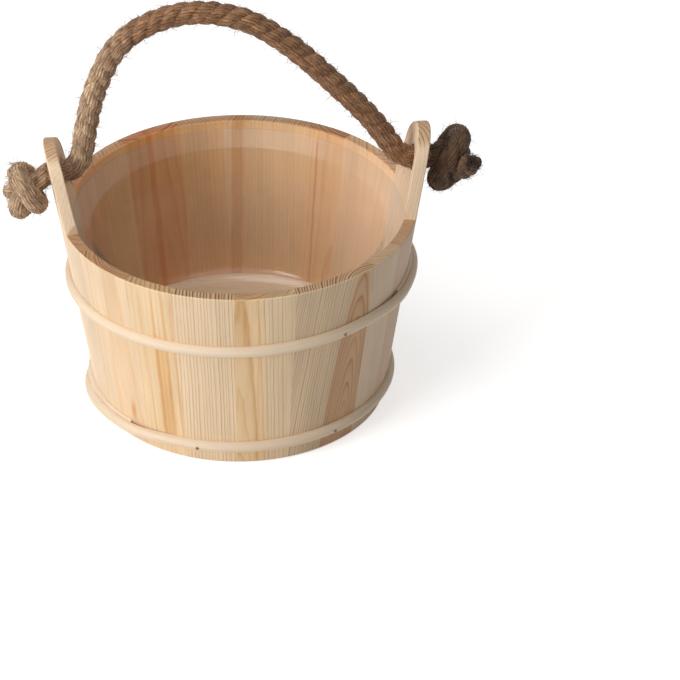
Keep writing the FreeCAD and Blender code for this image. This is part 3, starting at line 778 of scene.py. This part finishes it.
# Loose fibres: lengths in millimetres, and how many stand on a metre of rope. None
# grows higher than the top
HAIR_TOP = 312.5
HAIR_SHORTEST = 1.2
HAIR_LONGEST = 11.0
HAIR_THIN = 0.09
HAIR_THICK = 0.19
HAIRS_PER_METRE = 8500
HAIR_STEPS = 4
HAIR_SIDES = (0, 2.0944, 4.1888)
HAIR_ASIDE = (0.3, 0.5, 0.81)
STRAY_EVERY = 6
BRUSH_HAIRS = 320
BRUSH_SHORTEST = 0.8
BRUSH_LONGEST = 3.2


def hairs(name, line, diameter, seed, brush=0):
    """Loose fibres that stand off the rope: thin bent hairs, closed at both ends. A
    brush of short ones stands on the line's cut end."""
    generator = np.random.default_rng(seed)
    passed, spots, ways, first, second = line
    count = int(HAIRS_PER_METRE * passed[-1])
    vertices, faces = [], []
    for number in range(count + brush):
        at_end = number >= count
        k = len(spots) - 1 if at_end else generator.integers(0, len(spots))
        angle = generator.random() * 2 * math.pi
        out = math.cos(angle) * first[k] + math.sin(angle) * second[k]
        round_it = np.cross(ways[k], out)
        root = spots[k] + out * diameter * generator.uniform(0.40, 0.50)
        length = MM * (HAIR_SHORTEST + HAIR_LONGEST * generator.random() ** 2.6)
        heading = (
            ways[k] * generator.normal(0, 1.0)
            + round_it * generator.normal(0, 1.0)
            + out * generator.uniform(0.15, 0.9)
        )
        if number % STRAY_EVERY == 0:
            heading += out * 1.5
        if at_end:
            root = spots[k] + out * diameter * 0.49 * math.sqrt(generator.random())
            length = MM * generator.uniform(BRUSH_SHORTEST, BRUSH_LONGEST)
            heading = ways[k] * 1.6 + heading * 0.5
        heading /= np.linalg.norm(heading)
        bend = generator.normal(0, 0.35, 3)
        thick = MM * generator.uniform(HAIR_THIN, HAIR_THICK)
        place = root.copy()
        start = len(vertices)
        for step in range(HAIR_STEPS + 1):
            side = np.cross(heading, HAIR_ASIDE)
            side /= np.linalg.norm(side)
            up = np.cross(heading, side)
            slim = thick * (1 - 0.75 * step / HAIR_STEPS)
            for turn in HAIR_SIDES:
                vertices.append(place + slim * (math.cos(turn) * side + math.sin(turn) * up))
            place = place + heading * length / HAIR_STEPS
            heading = heading + bend * 0.8
            if place[2] > HAIR_TOP * MM:
                heading[2] = -abs(heading[2])
            heading /= np.linalg.norm(heading)
        for step in range(HAIR_STEPS):
            for j in range(3):
                a = start + step * 3 + j
                b = start + step * 3 + (j + 1) % 3
                faces.append((a, b, b + 3, a + 3))
        faces.append((start + 2, start + 1, start))
        last = start + HAIR_STEPS * 3
        faces.append((last, last + 1, last + 2))
    mesh = bpy.data.meshes.new(name)
    mesh.from_pydata([tuple(v) for v in vertices], [], faces)
    mesh.update()
    return placed(name, mesh)


# Across from the middle in millimetres: the rope is painted paler at its left end, a painted light
# where the key lamp falls, and darker on the rest, a painted shade
LIT_END = -108.0
SHADED_START = -55.0
JUTE_RELIEF = 0.0006


def jute_yarn(name, lit_left_colour, shade):
    """Jute yarn: red-brown fibres drawn out along each yarn, with painted shade in the grooves
    between yarns and between strands. The two colours multiplied in are those of its left end, a
    painted light, and of the rest, a painted shade."""
    made, tree, shader = material(name)
    here = tree.here_in_mm()
    strand = tree.node("ShaderNodeAttribute", attribute_name="in_strand").outputs["Vector"]
    across, over, along = tree.split(strand)
    twisted = tree.math("MULTIPLY_ADD", along, 0.35, tree.math("MULTIPLY", across, 2.6))
    drawn = tree.join(twisted, tree.math("MULTIPLY", over, 2.6), tree.math("MULTIPLY", along, 0.30))
    fibre = tree.noise(drawn, detail=3.0, roughness=0.62)
    wisp = tree.noise(tree.vector("MULTIPLY", strand, (0.9, 0.9, 0.10)), detail=2.0)
    blotch = tree.noise(here, scale=0.16, detail=3.0)
    tone = tree.node("ShaderNodeAttribute", attribute_name="tone").outputs["Fac"]
    crevice_shade = tree.node("ShaderNodeAttribute", attribute_name="crevice_shade").outputs["Fac"]
    groove = tree.node("ShaderNodeAttribute", attribute_name="groove").outputs["Fac"]
    jute = tree.mix(tree.remap(fibre, 0.41, 0.68), colour(255, 236, 204), colour(132, 82, 54))
    jute = tree.mix(tree.remap(wisp, 0.35, 0.7, 0.0, 0.45), jute, colour(160, 118, 86))
    dark = tree.mix(tree.remap(blotch, 0.3, 0.7), colour(206, 192, 182), colour(255, 250, 244))
    jute = tree.mix(1.0, jute, dark, "MULTIPLY")
    each = tree.math("MULTIPLY_ADD", tone, 0.13, 1.0)
    jute = tree.toned(jute, each)
    # Painted shade in the grooves between yarns, stronger in places
    groove_shade_share = tree.remap(wisp, 0.3, 0.6, 0.25, 0.8)
    groove_shade = tree.math("MULTIPLY", tree.remap(groove, 0.25, 0.95), groove_shade_share)
    jute = tree.stained(groove_shade, jute, colour(122, 88, 66))
    # Painted shade between strands, where they press on each other
    between = tree.remap(crevice_shade, 0.3, 0.85, 0.0, 1.0)
    jute = tree.stained(between, jute, colour(112, 80, 60))
    # Painted light and shade: the left end is lighter where the key lamp falls, the rest darker
    shaded_share = tree.remap(tree.split(here)[0], LIT_END, SHADED_START)
    jute = tree.mix(1.0, jute, tree.mix(shaded_share, colour(*lit_left_colour), colour(*shade)), "MULTIPLY")
    tree.feed(shader.inputs["Base Color"], jute)
    tree.feed(shader.inputs["Roughness"], tree.remap(fibre, 0.3, 0.7, 0.58, 0.85))
    shader.inputs["Specular IOR Level"].default_value = 0.25
    shader.inputs["Sheen Weight"].default_value = 0.2
    shader.inputs["Sheen Roughness"].default_value = 0.5
    bump(tree, shader, fibre, JUTE_RELIEF)
    return made


def jute_hair(name, pale, dark):
    """Single loose fibres, some paler and some darker."""
    made, tree, shader = material(name)
    here = tree.here()
    mottle = tree.remap(tree.noise(here, scale=520.0, detail=2.0), 0.4, 0.6)
    tree.feed(shader.inputs["Base Color"], tree.mix(mottle, colour(*pale), colour(*dark)))
    shader.inputs["Roughness"].default_value = 0.6
    return made


# The left end's colour is a painted light, the rest's a painted shade
JUTE = jute_yarn("jute_yarn", (255, 250, 244), (206, 177, 153))
HAIR = jute_hair("jute_hair", (186, 146, 110), (84, 60, 44))
# Darker copies for the right knot, which lies out of the key lamp's light: painted shade
SHADED_JUTE = jute_yarn("jute_yarn_shaded", (136, 119, 104), (136, 119, 104))
SHADED_HAIR = jute_hair("jute_hair_shaded", (128, 98, 74), (66, 46, 34))

route = [(across * MM, 0.0, (HOLE_HEIGHT + up) * MM) for across, up in ROPE_ROUTE]
rope_line = smooth_line(route, ROUTE_FINENESS)
rope, rope_steps = laid_rope("rope_laid", rope_line, ROPE_DIAMETER * MM, seed=4)
rope.data.materials.append(JUTE)
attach(rope, "bail")
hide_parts("rope_handle")
rope_hairs = hairs("rope_hairs", rope_steps, ROPE_DIAMETER * MM, seed=8)
rope_hairs.data.materials.append(HAIR)
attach(rope_hairs, "bail")

# Knots: an overhand knot tied loosely, then drawn up tight in steps. Lengths are in
# millimetres

KNOT_STEP = 2.2
KNOT_ROUNDS = 900
KNOT_PASSES = 3
LOOP_POINTS = 220
LOOP_OPENING = 0.22
LOOSE_SIZE = 5.0
LEAD_LENGTH = 7.0
LEAD_GAP = 0.5
LEAD_POINTS = 10
TAIL_LENGTH = 60.0
TAIL_GAP = 1.0
TAIL_POINTS = 40
END_PULL = 0.45
NEXT_PULL = 0.2
STRAIGHTENING = 0.10
PUSH_SHARE = 0.175
LED_POINTS = 2
NECK_START = 3.0
NECK_LENGTH = 14.0
KNOT_DRAWN = 15.0
KNOT_PLACE = 132.8


def loose_knot(hand, turn):
    """A loose overhand knot along +X from the hole, in millimetres. Hand is 1 or -1,
    and turn is how far it is rolled about the rope, in degrees."""
    angle = np.linspace(LOOP_OPENING, 2 * math.pi - LOOP_OPENING, LOOP_POINTS)
    wide = 2 + np.cos(3 * angle)
    loop = np.stack(
        [wide * np.sin(2 * angle), wide * np.cos(2 * angle) - 3, hand * np.sin(3 * angle)], axis=1
    ) * LOOSE_SIZE
    ahead = np.array([1.0, 0.0, 0.0])
    lead = loop[0] - ahead * np.linspace(LEAD_LENGTH, LEAD_GAP, LEAD_POINTS)[:, None]
    tail = loop[-1] + ahead * np.linspace(TAIL_GAP, TAIL_LENGTH, TAIL_POINTS)[:, None]
    line = np.vstack([lead, loop, tail])
    cosine, sine = math.cos(math.radians(turn)), math.sin(math.radians(turn))
    line = line @ np.array([[1, 0, 0], [0, cosine, -sine], [0, sine, cosine]]).T
    return line - line[0]


def drawn_tight(line, thick, pull, sunk):
    """Pull the tail of a rope of that thickness until its turns press on each other.
    The rope starts sunk in the hole, and its turns stay outside the ear. Its neck is
    then led back to the middle of the hole."""
    passed = distances(line)
    wanted = np.linspace(0, passed[-1], int(passed[-1] / KNOT_STEP) + 1)
    line = spots_at(wanted, passed, line)
    count = len(line)
    pull = np.array(pull) / np.linalg.norm(pull)
    one, other = np.triu_indices(count, k=int(thick * 1.15 / KNOT_STEP) + 1)
    led = np.zeros((LED_POINTS, 3))
    led[:, 0] = np.arange(LED_POINTS) * KNOT_STEP - sunk
    line = line - (sunk, 0, 0)
    outside = np.arange(count) > (sunk + thick / 2) / KNOT_STEP + 1
    for _ in range(KNOT_ROUNDS):
        line[-1] += pull * END_PULL
        line[-2] += pull * NEXT_PULL
        line[1:-1] += ((line[:-2] + line[2:]) / 2 - line[1:-1]) * STRAIGHTENING
        for _ in range(KNOT_PASSES):
            for odd in (0, 1):
                last = odd + 2 * ((count - odd) // 2)
                run = line[odd + 1:last:2] - line[odd:last:2]
                far = np.linalg.norm(run, axis=1)[:, None]
                change = run * (far - KNOT_STEP) / far * 0.5
                line[odd:last:2] += change
                line[odd + 1:last:2] -= change
            run = line[other] - line[one]
            far = np.linalg.norm(run, axis=1)
            near = far < thick
            push = run[near] * ((thick - far[near]) / far[near] * PUSH_SHARE)[:, None]
            np.add.at(line, one[near], -push)
            np.add.at(line, other[near], push)
            line[:LED_POINTS] = led
            pressed = outside & (line[:, 0] < thick / 2)
            line[pressed, 0] = (line[pressed, 0] + thick / 2) / 2
    from_hole = np.arange(count) * KNOT_STEP - sunk
    line[:, 1:] *= softly((from_hole + NECK_START) / NECK_LENGTH)[:, None]
    return line


def cut_tail(line, thick, tail):
    """End the rope a tail's length after the last place where it lies on itself."""
    apart = int(thick * 1.3 / KNOT_STEP) + 1
    far = np.linalg.norm(line[:, None] - line[None], axis=2)
    one, other = np.nonzero(far < thick * 1.06)
    last = max(b for a, b in zip(one, other) if b > a + apart)
    return line[:last + int(tail / KNOT_STEP)]


# Each knot's side of the pail, hand, roll in degrees, thickness as tied, way of the pull, depth in
# the hole, tail, yarn, loose fibres and seed. The right knot's yarn and fibres are darker copies:
# painted shade
KNOTS = {
    "left": (-1, 1, 15, 12.4, (0.6, 0.6, -0.9), 14.0, 1.0, JUTE, HAIR, 11),
    "right": (1, -1, 165, 12.0, (0.5, -0.7, 1.0), 12.0, 12.0, SHADED_JUTE, SHADED_HAIR, 12),
}
knot_pieces = []
for side, (sign, hand, turn, thick, pull, sunk, tail, yarn, hair, seed) in KNOTS.items():
    shape = cut_tail(drawn_tight(loose_knot(hand, turn), thick, pull, sunk), thick, tail)
    places = [
        (sign * (KNOT_PLACE + out) * MM, along * MM, (HOLE_HEIGHT + up) * MM)
        for out, along, up in shape
    ]
    knot_line = smooth_line(places, KNOT_FINENESS)
    knot, knot_steps = laid_rope(
        f"knot_{side}", knot_line, KNOT_DRAWN * MM, ROPE_DIAMETER * MM, seed=seed
    )
    knot.data.materials.append(yarn)
    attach(knot, "bail")
    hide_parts(f"rope_knot_{side}")
    fuzz = hairs(
        f"knot_hairs_{side}", knot_steps, KNOT_DRAWN * MM, seed=seed + 10, brush=BRUSH_HAIRS
    )
    fuzz.data.materials.append(hair)
    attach(fuzz, "bail")
    knot_pieces += [knot, fuzz]

# Floor, surroundings and lamps: lengths in metres, and the lamps' power in watts

AMBIENT_STRENGTH = 0.215
FLOOR_GLOW = 0.64
FLOOR_HALF = 12.0
FLOOR_DROP = 0.0004
LAMPS_AIM = (0, 0, 0.12)
LAMPS = {
    "key": dict(place=(-2.1, -1.48, 1.2), size=1.6, power=49.0),
    "top": dict(place=(-0.6, -0.2, 2.4), size=1.5, power=17.0),
}


def seen_rays(tree):
    """One for rays that show the background: seen, mirrored or through glass."""
    path = tree.node("ShaderNodeLightPath").outputs
    seen = tree.math("MAXIMUM", path["Is Camera Ray"], path["Is Glossy Ray"])
    return tree.math("MAXIMUM", seen, path["Is Transmission Ray"])


def white_surroundings():
    """A white background, and a plain soft light from all round."""
    world = bpy.data.worlds.new("surroundings")
    scene.world = world
    world.use_nodes = True
    tree = Tree(world.node_tree)
    back = world.node_tree.nodes["Background"]
    back.inputs["Color"].default_value = (1, 1, 1, 1)
    strength = tree.remap(seen_rays(tree), 0.0, 1.0, AMBIENT_STRENGTH, 1.0, smooth=False)
    tree.feed(back.inputs["Strength"], strength)


def white_floor():
    """A white floor that keeps the pail's shadow."""
    half = FLOOR_HALF
    mesh = bpy.data.meshes.new("floor")
    mesh.from_pydata(
        [(-half, -half, 0), (half, -half, 0), (half, half, 0), (-half, half, 0)], [], [(0, 1, 2, 3)]
    )
    floor = placed("floor", mesh)
    floor.location.z = -FLOOR_DROP
    made, tree, shader = material("floor_white")
    shader.inputs["Base Color"].default_value = colour(236, 236, 236)
    shader.inputs["Roughness"].default_value = 0.9
    shader.inputs["Specular IOR Level"].default_value = 0.0
    shader.inputs["Emission Color"].default_value = (1, 1, 1, 1)
    glow = tree.math("MULTIPLY", seen_rays(tree), FLOOR_GLOW)
    tree.feed(shader.inputs["Emission Strength"], glow)
    mesh.materials.append(made)


def lamp(name, place, size, power):
    """A soft square lamp that shines on the pail."""
    light = bpy.data.lights.new(name, "AREA")
    light.shape = "SQUARE"
    light.size = size
    light.energy = power
    aim(placed(name, light), place, Vector(LAMPS_AIM) - Vector(place))


white_surroundings()
white_floor()
for lamp_name, settings in LAMPS.items():
    lamp(lamp_name, **settings)
